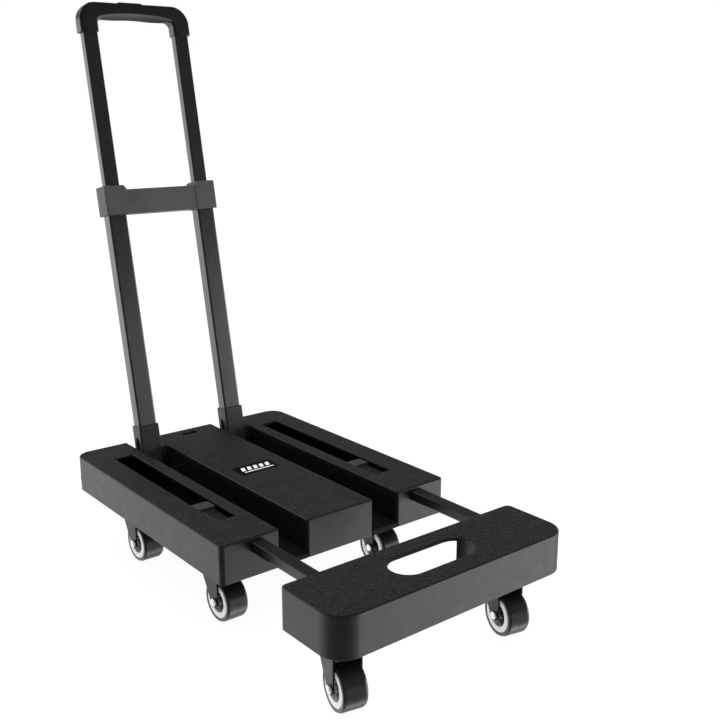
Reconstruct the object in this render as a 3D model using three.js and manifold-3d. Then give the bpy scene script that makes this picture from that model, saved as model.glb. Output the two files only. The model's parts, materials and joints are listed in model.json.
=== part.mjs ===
// Folding platform cart: a three-block deck on four swivel casters, a pull-out front bar on
// two more, and a telescopic handle that folds down over the deck. Millimetres, +Z up, +X to
// the right, and the cart's front bar points along -Y. The origin is on the ground, in the
// middle of the cart's footprint.
import * as THREE from "three";
import { mergeVertices } from "three/addons/utils/BufferGeometryUtils.js";
import Module from "manifold-3d";

const wasm = await Module();
wasm.setup();

// ---- driving dimensions -------------------------------------------------------------------
// Heights are above the ground, and Y is measured from the deck's front face.

const GAP = 0.3;
const OVERCUT = 1;

const DECK = { width: 400, length: 460, bottom: 99, top: 156 };
const PLATE_THICKNESS = 8;
const WALL = 4;
const CENTRE_BLOCK_HALF_WIDTH = 58.5;
const SIDE_BLOCK_INNER = 107;
const REAR_CORNER_RADIUS = 24;
const FRONT_CORNER_RADIUS = 7;
const INNER_CORNER_RADIUS = 3;
const SLOT = { centre: 143, width: 32, front: 77, rear: 397 };
const SIDE_HOLE = { y: 439, z: 121, radius: 3.5 };
const LABEL = { width: 70, length: 35, y: 220, thickness: 2 };
const REAR_SLOT = { x: 2.5, y: 437, width: 28, length: 9 };

const BAR = { rear: -135, depth: 114, frontRadius: 35, rearRadius: 9, base: 6 };
const HAND_HOLE = { length: 136, width: 51, y: -191, rim: 3.5 };
const BAR_OPENING = { width: 236, front: -173 };
const ROD = { width: 20, height: 15, bottom: 136, wall: 1.5, front: -230, rear: 149.7 };
const ROD_CLEARANCE = 0.4;
const ROD_STOP = { width: 28, length: 22, front: 131, bottom: 132, top: 154 };
const ROD_GUIDE = { width: 34, length: 16, front: 8, top: 148 };

const HINGE = { y: 422, z: 129, pinRadius: 4, boreRadius: 4.3 };
const HINGE_BASE = { width: 46.4, length: 35, floor: 2.5, cheek: 4.2, top: 145 };
const LEAN = THREE.MathUtils.degToRad(11);
const TUBE_X = 83;
const SOCKET = { width: 36, radius: 15, top: 62, pocketFloor: 20 };
const SOCKET_NOTCH = { width: 10, bottom: 11, top: 42, depth: 1.9 };
const OUTER_TUBE = { width: 32, depth: 23, wall: 1.6, bottom: 20.3, top: 455 };
const INNER_TUBE = { width: 25, depth: 15.5, wall: 1.3, bottom: 375, top: 741 };
const GLIDE = { length: 14, spigot: 12 };
const JOINT = { collarWidth: 40, depth: 36, bottom: 415, top: 463, barTop: 456, barInset: 2 };
const GRIP = { width: 199, depth: 23, armWidth: 31, bottom: 713, top: 760.5, bar: 25 };
const GRIP_OUTER_RADIUS = 30;
const GRIP_INNER_RADIUS = 10;
const BUTTON = { x: -5, width: 43, depth: 13, bottom: 751, top: 763, floor: 744 };

const CASTER_X = 143;
const CASTER = { trail: 20, axleHeight: 31, plateTop: 98.7 };
const WHEEL = { radius: 31, shoulder: 29.5, halfWidth: 16.8, treadHalfWidth: 13.5 };
const RIM = { radius: 25, ringInner: 16.8, halfWidth: 16.5, webHalfWidth: 7, bore: 4.2 };
const HUB_HALF_WIDTH = 12;
const AXLE = { radius: 3.9, headRadius: 6, headStart: 20.6, headEnd: 24 };
const FORK = { armInner: 17.8, armOuter: 20.3, crownBottom: 72, crownTop: 82, rear: 16 };
const FORK_ARM = { lead: 7, tipRadius: 9, tipSweep: THREE.MathUtils.degToRad(155) };
const RACEWAY = { radius: 22, top: 93.9 };
const KINGPIN = { radius: 6, bore: 6.3, headRadius: 9, headBottom: 67.5, headTop: 71.7 };
const MOUNT_PLATE = { width: 60, length: 52, bottom: 94.2 };

// Where each caster's swivel stands, and how far it is turned at rest.
const FRONT_SWIVEL = THREE.MathUtils.degToRad(-12);
const CASTERS = [
  { place: "front", y: -177, turn: FRONT_SWIVEL },
  { place: "middle", y: 104, turn: 0 },
  { place: "rear", y: 354, turn: 0 },
];

const SIDES = [
  { side: "left", sign: -1 },
  { side: "right", sign: 1 },
];

const ROUND_STEPS = 16;
const WHEEL_STEPS = 24;
const CORNER_STEPS = 6;

// ---- materials ----------------------------------------------------------------------------

const material = (color, roughness, metalness) =>
  new THREE.MeshStandardMaterial({ color, roughness, metalness });

const MATERIALS = {
  deckPlastic: material(0x2a2a2a, 0.6, 0),
  basePlastic: material(0x202020, 0.65, 0),
  rodSteel: material(0x262626, 0.45, 0.3),
  tubeMetal: material(0x2c2c2c, 0.4, 0.4),
  jointPlastic: material(0x383838, 0.55, 0),
  gripPlastic: material(0x161616, 0.6, 0),
  buttonPlastic: material(0x1c1c1c, 0.5, 0),
  hingeSteel: material(0x242424, 0.45, 0.5),
  casterPlastic: material(0x1a1a1a, 0.4, 0),
  wheelRing: material(0xe8e8e8, 0.35, 0),
  tyre: material(0x2b2b2b, 0.75, 0),
  axleSteel: material(0x8a8a8a, 0.35, 0.9),
  label: material(0x0c0c0c, 0.3, 0),
};

// ---- solids -------------------------------------------------------------------------------

function toSolid(geometry) {
  const bare = geometry.clone();
  bare.deleteAttribute("normal");
  bare.deleteAttribute("uv");
  const merged = mergeVertices(bare, 1e-4);
  const mesh = new wasm.Mesh({
    numProp: 3,
    vertProperties: new Float32Array(merged.attributes.position.array),
    triVerts: new Uint32Array(merged.index.array),
  });
  return new wasm.Manifold(mesh);
}

function toGeometry(solid) {
  const mesh = solid.getMesh();
  const geometry = new THREE.BufferGeometry();
  geometry.setAttribute("position", new THREE.BufferAttribute(mesh.vertProperties, 3));
  geometry.setIndex(new THREE.BufferAttribute(mesh.triVerts, 1));
  geometry.computeVertexNormals();
  return geometry;
}

function cut(geometry, ...tools) {
  let solid = toSolid(geometry);
  for (const tool of tools) {
    solid = solid.subtract(toSolid(tool));
  }
  return toGeometry(solid);
}

function join(...geometries) {
  let solid = toSolid(geometries[0]);
  for (const geometry of geometries.slice(1)) {
    solid = solid.add(toSolid(geometry));
  }
  return toGeometry(solid);
}

// A box given by its lowest and highest corner.
function block(x0, y0, z0, x1, y1, z1) {
  const geometry = new THREE.BoxGeometry(x1 - x0, y1 - y0, z1 - z0);
  return geometry.translate((x0 + x1) / 2, (y0 + y1) / 2, (z0 + z1) / 2);
}

// A box centred on X, with its other sides given.
function centredBlock(width, y0, z0, y1, z1, x = 0) {
  return block(x - width / 2, y0, z0, x + width / 2, y1, z1);
}

function upright(shape, z0, z1) {
  const options = { depth: z1 - z0, bevelEnabled: false, curveSegments: CORNER_STEPS };
  return new THREE.ExtrudeGeometry(shape, options).translate(0, 0, z0);
}

// A shape drawn in (X, Z) and pulled through a stretch of Y.
function throughY(shape, y0, y1) {
  const options = { depth: y1 - y0, bevelEnabled: false, curveSegments: CORNER_STEPS };
  return new THREE.ExtrudeGeometry(shape, options).rotateX(Math.PI / 2).translate(0, y1, 0);
}

// A shape drawn in (Y, Z) and pulled through a stretch of X.
function throughX(shape, x0, x1) {
  const options = { depth: x1 - x0, bevelEnabled: false, curveSegments: CORNER_STEPS };
  const geometry = new THREE.ExtrudeGeometry(shape, options);
  return geometry.rotateX(Math.PI / 2).rotateZ(Math.PI / 2).translate(x0, 0, 0);
}

// A rectangle with its own radius at each corner, in the order front left, front right, rear
// right, rear left.
function roundedRectangle(x0, y0, x1, y1, radii) {
  const [frontLeft, frontRight, rearRight, rearLeft] = radii;
  const quarter = Math.PI / 2;
  const shape = new THREE.Shape();
  shape.moveTo(x0 + frontLeft, y0);
  shape.lineTo(x1 - frontRight, y0);
  shape.absarc(x1 - frontRight, y0 + frontRight, frontRight, -quarter, 0, false);
  shape.lineTo(x1, y1 - rearRight);
  shape.absarc(x1 - rearRight, y1 - rearRight, rearRight, 0, quarter, false);
  shape.lineTo(x0 + rearLeft, y1);
  shape.absarc(x0 + rearLeft, y1 - rearLeft, rearLeft, quarter, 2 * quarter, false);
  shape.lineTo(x0, y0 + frontLeft);
  shape.absarc(x0 + frontLeft, y0 + frontLeft, frontLeft, 2 * quarter, 3 * quarter, false);
  return shape;
}

function stadium(length, width, y) {
  const half = length / 2;
  const radius = width / 2;
  return roundedRectangle(-half, y - radius, half, y + radius, Array(4).fill(radius));
}

// A round bar along Z, X or Y, from one end to the other.
function roundZ(radius, z0, z1, x = 0, y = 0) {
  const geometry = new THREE.CylinderGeometry(radius, radius, z1 - z0, ROUND_STEPS);
  return geometry.rotateX(Math.PI / 2).translate(x, y, (z0 + z1) / 2);
}

function roundX(radius, x0, x1, y, z) {
  const geometry = new THREE.CylinderGeometry(radius, radius, x1 - x0, ROUND_STEPS);
  return geometry.rotateZ(Math.PI / 2).translate((x0 + x1) / 2, y, z);
}

// A turned piece whose axis runs along X, from a profile of (radius, distance) pairs.
function turnedX(profile, steps) {
  const points = profile.map(([radius, along]) => new THREE.Vector2(radius, along));
  return new THREE.LatheGeometry(points, steps).rotateZ(-Math.PI / 2);
}

function rectangularTube(width, depth, wall, z0, z1, x) {
  const outside = centredBlock(width, -depth / 2, z0, depth / 2, z1, x);
  const halfBore = depth / 2 - wall;
  const boreWidth = width - 2 * wall;
  const bore = centredBlock(boreWidth, -halfBore, z0 - OVERCUT, halfBore, z1 + OVERCUT, x);
  return cut(outside, bore);
}

function piece(name, geometry, finish) {
  const mesh = new THREE.Mesh(geometry, finish);
  mesh.name = name;
  return mesh;
}

// ---- deck ---------------------------------------------------------------------------------

const plateTop = DECK.bottom + PLATE_THICKNESS;
const coverCeiling = DECK.top - WALL;

// The load-bearing plate. It stops inside the covers' skirts and shows its edge only under
// the two grooves.
function deckBase() {
  const inset = WALL + GAP;
  const half = DECK.width / 2 - inset;
  const rearRadius = REAR_CORNER_RADIUS - WALL;
  const radii = [FRONT_CORNER_RADIUS, FRONT_CORNER_RADIUS, rearRadius, rearRadius];
  const outline = roundedRectangle(-half, inset, half, DECK.length - inset, radii);
  const tongues = SIDES.map(({ sign }) => {
    const inner = sign * (CENTRE_BLOCK_HALF_WIDTH + GAP);
    const outer = sign * (SIDE_BLOCK_INNER - GAP);
    const x0 = Math.min(inner, outer);
    const x1 = Math.max(inner, outer);
    return block(x0, 0, DECK.bottom, x1, DECK.length, plateTop);
  });
  return join(upright(outline, DECK.bottom, plateTop), ...tongues);
}

// An open-bottomed cover. Its outer skirt reaches the deck's underside, and the walls beside
// the grooves stand on the plate.
function coverShell(x0, x1, radii, grooveWalls) {
  const outside = upright(roundedRectangle(x0, 0, x1, DECK.length, radii), DECK.bottom, DECK.top);
  const innerRadii = radii.map((radius) => Math.max(radius - WALL, 1));
  const hollow = roundedRectangle(
    x0 + WALL, WALL, x1 - WALL, DECK.length - WALL, innerRadii);
  const standing = grooveWalls.map(([low, high]) => block(
    low, WALL, DECK.bottom - OVERCUT, high, DECK.length - WALL, plateTop + GAP));
  return cut(outside, upright(hollow, DECK.bottom - OVERCUT, coverCeiling), ...standing);
}

function sideCover(sign) {
  const inner = sign * SIDE_BLOCK_INNER;
  const outer = sign * DECK.width / 2;
  const x0 = Math.min(inner, outer);
  const x1 = Math.max(inner, outer);
  const outsideFirst = [
    FRONT_CORNER_RADIUS, INNER_CORNER_RADIUS, INNER_CORNER_RADIUS, REAR_CORNER_RADIUS];
  const insideFirst = [
    INNER_CORNER_RADIUS, FRONT_CORNER_RADIUS, REAR_CORNER_RADIUS, INNER_CORNER_RADIUS];
  const wallReach = sign * (WALL + OVERCUT);
  const grooveWall = [
    Math.min(inner - sign * OVERCUT, inner + wallReach),
    Math.max(inner - sign * OVERCUT, inner + wallReach)];
  const shell = coverShell(x0, x1, sign < 0 ? outsideFirst : insideFirst, [grooveWall]);

  const slotX = sign * SLOT.centre;
  const slot = centredBlock(
    SLOT.width, SLOT.front, coverCeiling - OVERCUT, SLOT.rear, DECK.top + OVERCUT, slotX);
  const rodHole = centredBlock(
    ROD.width + 2 * ROD_CLEARANCE, -OVERCUT, ROD.bottom - ROD_CLEARANCE,
    WALL + OVERCUT, ROD.bottom + ROD.height + ROD_CLEARANCE, slotX);
  const holeStart = Math.min(outer - sign * (WALL + OVERCUT), outer + sign * OVERCUT);
  const holeEnd = Math.max(outer - sign * (WALL + OVERCUT), outer + sign * OVERCUT);
  const sideHole = roundX(SIDE_HOLE.radius, holeStart, holeEnd, SIDE_HOLE.y, SIDE_HOLE.z);
  return cut(shell, slot, rodHole, sideHole);
}

function centreCover() {
  const half = CENTRE_BLOCK_HALF_WIDTH;
  const wall = WALL + OVERCUT;
  const radii = Array(4).fill(INNER_CORNER_RADIUS);
  const shell = coverShell(
    -half, half, radii, [[-half - OVERCUT, -half + wall], [half - wall, half + OVERCUT]]);
  const labelY = LABEL.y - LABEL.length / 2 - GAP;
  const labelPocket = centredBlock(
    LABEL.width + 2 * GAP, labelY, DECK.top - LABEL.thickness - GAP,
    labelY + LABEL.length + 2 * GAP, DECK.top + OVERCUT);
  const rearSlot = centredBlock(
    REAR_SLOT.width, REAR_SLOT.y - REAR_SLOT.length / 2, coverCeiling - OVERCUT,
    REAR_SLOT.y + REAR_SLOT.length / 2, DECK.top + OVERCUT, REAR_SLOT.x);
  return cut(shell, labelPocket, rearSlot);
}

function labelPlate() {
  const front = LABEL.y - LABEL.length / 2;
  return centredBlock(
    LABEL.width, front, DECK.top - LABEL.thickness, front + LABEL.length, DECK.top);
}

// ---- pull-out front bar -------------------------------------------------------------------

const barFront = BAR.rear - BAR.depth;

function barOutline(inset) {
  const half = DECK.width / 2 - inset;
  const front = BAR.frontRadius - inset;
  const rear = Math.max(BAR.rearRadius - inset, 1);
  return roundedRectangle(
    -half, barFront + inset, half, BAR.rear - inset, [front, front, rear, rear]);
}

function rodHoleInBar(sign) {
  return centredBlock(
    ROD.width + 2 * ROD_CLEARANCE, BAR.rear - WALL - OVERCUT, ROD.bottom - ROD_CLEARANCE,
    BAR.rear + OVERCUT, ROD.bottom + ROD.height + ROD_CLEARANCE, sign * SLOT.centre);
}

// The space under the bar's top, behind the hand hole and between the rods, that is left open
// to the rear and below.
function barRearOpening() {
  return centredBlock(
    BAR_OPENING.width, BAR_OPENING.front, DECK.bottom - OVERCUT,
    BAR.rear + OVERCUT, coverCeiling);
}

// The bar's shell. The hand hole's rim runs down to the underside round its front and ends.
function frontBarShell() {
  const low = DECK.bottom - OVERCUT;
  const rimLength = HAND_HOLE.length + 2 * HAND_HOLE.rim;
  const rimWidth = HAND_HOLE.width + 2 * HAND_HOLE.rim;
  const rim = upright(stadium(rimLength, rimWidth, HAND_HOLE.y), low, DECK.top);
  const hollow = cut(upright(barOutline(WALL), low, coverCeiling), rim);
  const hole = upright(
    stadium(HAND_HOLE.length, HAND_HOLE.width, HAND_HOLE.y), low, DECK.top + OVERCUT);
  const outside = upright(barOutline(0), DECK.bottom, DECK.top);
  return cut(outside, hollow, hole, barRearOpening(), rodHoleInBar(-1), rodHoleInBar(1));
}

// The plate that closes the bar's underside in front of the hand hole and at both ends.
function frontBarBase() {
  const clear = HAND_HOLE.rim + GAP;
  const opening = stadium(
    HAND_HOLE.length + 2 * clear, HAND_HOLE.width + 2 * clear, HAND_HOLE.y);
  const plate = upright(barOutline(WALL + GAP), DECK.bottom, DECK.bottom + BAR.base);
  return cut(plate, upright(opening, DECK.bottom - OVERCUT, plateTop + OVERCUT), barRearOpening());
}

// A flat steel tube that is fixed in the bar and slides in the deck.
function rod(sign) {
  const x = sign * SLOT.centre;
  const top = ROD.bottom + ROD.height;
  const outside = centredBlock(ROD.width, ROD.front, ROD.bottom, ROD.rear, top, x);
  const bore = centredBlock(
    ROD.width - 2 * ROD.wall, ROD.front - OVERCUT, ROD.bottom + ROD.wall,
    ROD.rear + OVERCUT, top - ROD.wall, x);
  return cut(outside, bore);
}

// The cap on a rod's rear end. It rides in the deck's slot and meets the slot's front end when
// the bar is pulled right out.
function rodStop(sign) {
  const x = sign * SLOT.centre;
  const outside = centredBlock(
    ROD_STOP.width, ROD_STOP.front, ROD_STOP.bottom,
    ROD_STOP.front + ROD_STOP.length, ROD_STOP.top, x);
  const pocket = centredBlock(
    ROD.width + 2 * GAP, ROD_STOP.front - OVERCUT, ROD.bottom - GAP,
    ROD.rear + GAP, ROD.bottom + ROD.height + GAP, x);
  return cut(outside, pocket);
}

// A saddle inside the deck that carries a rod.
function rodGuide(sign) {
  const x = sign * SLOT.centre;
  const rear = ROD_GUIDE.front + ROD_GUIDE.length;
  const outside = centredBlock(
    ROD_GUIDE.width, ROD_GUIDE.front, plateTop + GAP, rear, ROD_GUIDE.top, x);
  const channel = centredBlock(
    ROD.width + 2 * ROD_CLEARANCE, ROD_GUIDE.front - OVERCUT, ROD.bottom - ROD_CLEARANCE,
    rear + OVERCUT, ROD_GUIDE.top + OVERCUT, x);
  return cut(outside, channel);
}

// ---- handle hinges ------------------------------------------------------------------------

const hingeX = (sign) => sign * (CENTRE_BLOCK_HALF_WIDTH + SIDE_BLOCK_INNER) / 2;

// A U-shaped bracket on the groove's floor, with the pin's holes in its cheeks.
function hingeBase(sign) {
  const x = hingeX(sign);
  const front = HINGE.y - HINGE_BASE.length / 2;
  const rear = HINGE.y + HINGE_BASE.length / 2;
  const bottom = plateTop + GAP;
  const outside = centredBlock(HINGE_BASE.width, front, bottom, rear, HINGE_BASE.top, x);
  const channel = centredBlock(
    HINGE_BASE.width - 2 * HINGE_BASE.cheek, front - OVERCUT, bottom + HINGE_BASE.floor,
    rear + OVERCUT, HINGE_BASE.top + OVERCUT, x);
  const reach = HINGE_BASE.width / 2 + OVERCUT;
  const bore = roundX(HINGE.boreRadius, x - reach, x + reach, HINGE.y, HINGE.z);
  return cut(outside, channel, bore);
}

function hingePin(sign) {
  const x = hingeX(sign);
  const reach = HINGE_BASE.width / 2 - GAP;
  return roundX(HINGE.pinRadius, x - reach, x + reach, HINGE.y, HINGE.z);
}

// ---- handle, in its own frame: the hinge axis is X, and Z runs up along the tubes ----------

function handleSocket(sign) {
  const x = sign * TUBE_X;
  const half = SOCKET.width / 2;
  const outline = new THREE.Shape();
  outline.moveTo(SOCKET.radius, 0);
  outline.lineTo(SOCKET.radius, SOCKET.top);
  outline.lineTo(-SOCKET.radius, SOCKET.top);
  outline.lineTo(-SOCKET.radius, 0);
  outline.absarc(0, 0, SOCKET.radius, Math.PI, 2 * Math.PI, false);
  const body = throughX(outline, x - half, x + half);
  const bore = roundX(HINGE.boreRadius, x - half - OVERCUT, x + half + OVERCUT, 0, 0);
  const pocketDepth = OUTER_TUBE.depth / 2 + GAP;
  const pocket = centredBlock(
    OUTER_TUBE.width + 2 * GAP, -pocketDepth, SOCKET.pocketFloor,
    pocketDepth, SOCKET.top + OVERCUT, x);
  const notches = [-1, 1].map((face) => {
    const outer = x + face * (half + OVERCUT);
    const inner = x + face * (half - SOCKET_NOTCH.depth);
    return block(
      Math.min(outer, inner), -SOCKET_NOTCH.width / 2, SOCKET_NOTCH.bottom,
      Math.max(outer, inner), SOCKET_NOTCH.width / 2, SOCKET_NOTCH.top);
  });
  return cut(body, bore, pocket, ...notches);
}

function outerTube(sign) {
  return rectangularTube(
    OUTER_TUBE.width, OUTER_TUBE.depth, OUTER_TUBE.wall,
    OUTER_TUBE.bottom, OUTER_TUBE.top, sign * TUBE_X);
}

function innerTube(sign) {
  return rectangularTube(
    INNER_TUBE.width, INNER_TUBE.depth, INNER_TUBE.wall,
    INNER_TUBE.bottom, INNER_TUBE.top, sign * TUBE_X);
}

// The plug that guides an inner tube's foot inside the outer tube.
function innerGlide(sign) {
  const x = sign * TUBE_X;
  const top = INNER_TUBE.bottom - GAP;
  const depth = OUTER_TUBE.depth / 2 - OUTER_TUBE.wall - GAP;
  const width = OUTER_TUBE.width - 2 * (OUTER_TUBE.wall + GAP);
  const foot = centredBlock(width, -depth, top - GLIDE.length, depth, top, x);
  const spigotDepth = INNER_TUBE.depth / 2 - INNER_TUBE.wall - GAP;
  const spigotWidth = INNER_TUBE.width - 2 * (INNER_TUBE.wall + GAP);
  const spigot = centredBlock(
    spigotWidth, -spigotDepth, top - GAP, spigotDepth, top + GLIDE.spigot, x);
  return join(foot, spigot);
}

// One half of the cross joint: a collar round each outer tube and the bar between them.
function jointCover(face) {
  const outer = face * JOINT.depth / 2;
  const middle = face * GAP / 2;
  const barFace = outer - face * JOINT.barInset;
  const between = (a, b) => [Math.min(a, b), Math.max(a, b)];
  const [collarLow, collarHigh] = between(outer, middle);
  const [barLow, barHigh] = between(barFace, middle);
  const collars = SIDES.map(({ sign }) => centredBlock(
    JOINT.collarWidth, collarLow, JOINT.bottom, collarHigh, JOINT.top, sign * TUBE_X));
  const bar = centredBlock(2 * TUBE_X, barLow, JOINT.bottom, barHigh, JOINT.barTop);
  const tubePockets = SIDES.map(({ sign }) => {
    const reach = OUTER_TUBE.depth / 2 + GAP;
    return centredBlock(
      OUTER_TUBE.width + 2 * GAP, -reach, JOINT.bottom - OVERCUT,
      reach, OUTER_TUBE.top + GAP, sign * TUBE_X);
  });
  const innerHoles = SIDES.map(({ sign }) => {
    const reach = INNER_TUBE.depth / 2 + ROD_CLEARANCE;
    return centredBlock(
      INNER_TUBE.width + 2 * ROD_CLEARANCE, -reach, OUTER_TUBE.top,
      reach, JOINT.top + OVERCUT, sign * TUBE_X);
  });
  return cut(join(bar, ...collars), ...tubePockets, ...innerHoles);
}

// A bow with rounded shoulders. Its arms take the inner tubes, and its top holds the button.
function handleGrip() {
  const half = GRIP.width / 2;
  const inner = half - GRIP.armWidth;
  const underside = GRIP.top - GRIP.bar;
  const outerTurn = GRIP.top - GRIP_OUTER_RADIUS;
  const innerTurn = underside - GRIP_INNER_RADIUS;
  const quarter = Math.PI / 2;
  const shape = new THREE.Shape();
  shape.moveTo(half, GRIP.bottom);
  shape.lineTo(half, outerTurn);
  shape.absarc(half - GRIP_OUTER_RADIUS, outerTurn, GRIP_OUTER_RADIUS, 0, quarter, false);
  shape.lineTo(GRIP_OUTER_RADIUS - half, GRIP.top);
  shape.absarc(
    GRIP_OUTER_RADIUS - half, outerTurn, GRIP_OUTER_RADIUS, quarter, 2 * quarter, false);
  shape.lineTo(-half, GRIP.bottom);
  shape.lineTo(-inner, GRIP.bottom);
  shape.lineTo(-inner, innerTurn);
  shape.absarc(GRIP_INNER_RADIUS - inner, innerTurn, GRIP_INNER_RADIUS, 2 * quarter, quarter, true);
  shape.lineTo(inner - GRIP_INNER_RADIUS, underside);
  shape.absarc(inner - GRIP_INNER_RADIUS, innerTurn, GRIP_INNER_RADIUS, quarter, 0, true);
  shape.lineTo(inner, GRIP.bottom);
  const bow = throughY(shape, -GRIP.depth / 2, GRIP.depth / 2);

  const reach = INNER_TUBE.depth / 2 + GAP;
  const sockets = SIDES.map(({ sign }) => centredBlock(
    INNER_TUBE.width + 2 * GAP, -reach, GRIP.bottom - OVERCUT,
    reach, INNER_TUBE.top + GAP, sign * TUBE_X));
  const buttonReach = BUTTON.depth / 2 + ROD_CLEARANCE;
  const buttonPocket = centredBlock(
    BUTTON.width + 2 * ROD_CLEARANCE, -buttonReach, BUTTON.floor,
    buttonReach, GRIP.top + OVERCUT, BUTTON.x);
  return cut(bow, ...sockets, buttonPocket);
}

function gripButton() {
  const half = BUTTON.depth / 2;
  return centredBlock(BUTTON.width, -half, BUTTON.bottom, half, BUTTON.top, BUTTON.x);
}

// ---- casters, in their own frame: the swivel axis is Z, and the wheel trails along -Y ------

// The bolted plate and the headed pin that the fork turns on.
function casterMount() {
  const plate = centredBlock(
    MOUNT_PLATE.width, -MOUNT_PLATE.length / 2, MOUNT_PLATE.bottom,
    MOUNT_PLATE.length / 2, CASTER.plateTop);
  const pin = roundZ(KINGPIN.radius, KINGPIN.headTop - OVERCUT, MOUNT_PLATE.bottom + OVERCUT);
  const head = roundZ(KINGPIN.headRadius, KINGPIN.headBottom, KINGPIN.headTop);
  return join(plate, pin, head);
}

// Two tapered arms under a crown and a round raceway.
function casterFork() {
  const front = -CASTER.trail - FORK_ARM.lead;
  const tip = front + FORK_ARM.tipRadius;
  const arm = new THREE.Shape();
  arm.moveTo(front, FORK.crownTop);
  arm.lineTo(front, CASTER.axleHeight);
  arm.absarc(tip, CASTER.axleHeight, FORK_ARM.tipRadius, Math.PI, Math.PI + FORK_ARM.tipSweep, false);
  arm.lineTo(FORK.rear, FORK.crownBottom);
  arm.lineTo(FORK.rear, FORK.crownTop);
  const arms = [-FORK.armOuter, FORK.armInner].map(
    (x) => throughX(arm, x, x + FORK.armOuter - FORK.armInner));
  const crown = centredBlock(
    2 * FORK.armOuter, front, FORK.crownBottom, FORK.rear, FORK.crownTop);
  const raceway = roundZ(RACEWAY.radius, FORK.crownTop - OVERCUT, RACEWAY.top);
  const bore = roundZ(KINGPIN.bore, FORK.crownBottom - OVERCUT, RACEWAY.top + OVERCUT);
  const axleHole = roundX(
    RIM.bore, -FORK.armOuter - OVERCUT, FORK.armOuter + OVERCUT,
    -CASTER.trail, CASTER.axleHeight);
  return cut(join(crown, raceway, ...arms), bore, axleHole);
}

function casterAxle() {
  return turnedX([
    [0, -AXLE.headEnd],
    [AXLE.headRadius, -AXLE.headEnd],
    [AXLE.headRadius, -AXLE.headStart],
    [AXLE.radius, -AXLE.headStart],
    [AXLE.radius, AXLE.headStart],
    [AXLE.headRadius, AXLE.headStart],
    [AXLE.headRadius, AXLE.headEnd],
    [0, AXLE.headEnd],
  ], ROUND_STEPS);
}

// A wide ring with a recessed web and hub on each side.
function wheelRim() {
  return turnedX([
    [RIM.bore, -HUB_HALF_WIDTH],
    [RIM.ringInner, -RIM.webHalfWidth],
    [RIM.ringInner, -RIM.halfWidth],
    [RIM.radius, -RIM.halfWidth],
    [RIM.radius, RIM.halfWidth],
    [RIM.ringInner, RIM.halfWidth],
    [RIM.ringInner, RIM.webHalfWidth],
    [RIM.bore, HUB_HALF_WIDTH],
    [RIM.bore, -HUB_HALF_WIDTH],
  ], WHEEL_STEPS);
}

function wheelTyre() {
  const seat = RIM.radius + GAP;
  return turnedX([
    [seat, -RIM.halfWidth],
    [WHEEL.shoulder, -WHEEL.halfWidth],
    [WHEEL.radius, -WHEEL.treadHalfWidth],
    [WHEEL.radius, WHEEL.treadHalfWidth],
    [WHEEL.shoulder, WHEEL.halfWidth],
    [seat, RIM.halfWidth],
    [seat, -RIM.halfWidth],
  ], WHEEL_STEPS);
}

function caster(place, side, sign, y, turn) {
  const prefix = `${place}_${side}`;
  const stand = new THREE.Group();
  stand.position.set(sign * CASTER_X, y, 0);
  stand.add(piece(`${prefix}_caster_mount`, casterMount(), MATERIALS.hingeSteel));

  const swivel = new THREE.Group();
  swivel.rotation.z = turn;
  swivel.add(piece(`${prefix}_caster_fork`, casterFork(), MATERIALS.casterPlastic));

  const onAxle = new THREE.Group();
  onAxle.position.set(0, -CASTER.trail, CASTER.axleHeight);
  onAxle.add(piece(`${prefix}_axle`, casterAxle(), MATERIALS.axleSteel));
  onAxle.add(piece(`${prefix}_wheel_rim`, wheelRim(), MATERIALS.wheelRing));
  onAxle.add(piece(`${prefix}_wheel_tyre`, wheelTyre(), MATERIALS.tyre));
  swivel.add(onAxle);
  stand.add(swivel);
  return stand;
}

// ---- assembly -----------------------------------------------------------------------------

const cart = new THREE.Group();

cart.add(piece("deck_base", deckBase(), MATERIALS.basePlastic));
cart.add(piece("centre_deck_cover", centreCover(), MATERIALS.deckPlastic));
cart.add(piece("label_plate", labelPlate(), MATERIALS.label));
cart.add(piece("front_bar_shell", frontBarShell(), MATERIALS.deckPlastic));
cart.add(piece("front_bar_base", frontBarBase(), MATERIALS.basePlastic));

const handle = new THREE.Group();
handle.position.set(0, HINGE.y, HINGE.z);
handle.rotation.x = -LEAN;
handle.add(piece("joint_front_cover", jointCover(-1), MATERIALS.jointPlastic));
handle.add(piece("joint_rear_cover", jointCover(1), MATERIALS.jointPlastic));
handle.add(piece("handle_grip", handleGrip(), MATERIALS.gripPlastic));
handle.add(piece("grip_button", gripButton(), MATERIALS.buttonPlastic));

for (const { side, sign } of SIDES) {
  cart.add(piece(`${side}_deck_cover`, sideCover(sign), MATERIALS.deckPlastic));
  cart.add(piece(`${side}_rod`, rod(sign), MATERIALS.rodSteel));
  cart.add(piece(`${side}_rod_stop`, rodStop(sign), MATERIALS.jointPlastic));
  cart.add(piece(`${side}_rod_guide`, rodGuide(sign), MATERIALS.basePlastic));
  cart.add(piece(`${side}_hinge_base`, hingeBase(sign), MATERIALS.hingeSteel));
  cart.add(piece(`${side}_hinge_pin`, hingePin(sign), MATERIALS.axleSteel));
  handle.add(piece(`${side}_handle_socket`, handleSocket(sign), MATERIALS.jointPlastic));
  handle.add(piece(`${side}_outer_tube`, outerTube(sign), MATERIALS.tubeMetal));
  handle.add(piece(`${side}_inner_tube`, innerTube(sign), MATERIALS.tubeMetal));
  handle.add(piece(`${side}_inner_glide`, innerGlide(sign), MATERIALS.basePlastic));
  for (const { place, y, turn } of CASTERS) {
    cart.add(caster(place, side, sign, y, turn));
  }
}
cart.add(handle);

// The footprint's middle, from the bar's front face to the grip's rear edge, is the origin.
const footprint = new THREE.Box3().setFromObject(cart, true);
cart.position.y = -(footprint.min.y + footprint.max.y) / 2;

const root = new THREE.Group();
root.add(cart);

export default root;
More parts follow.
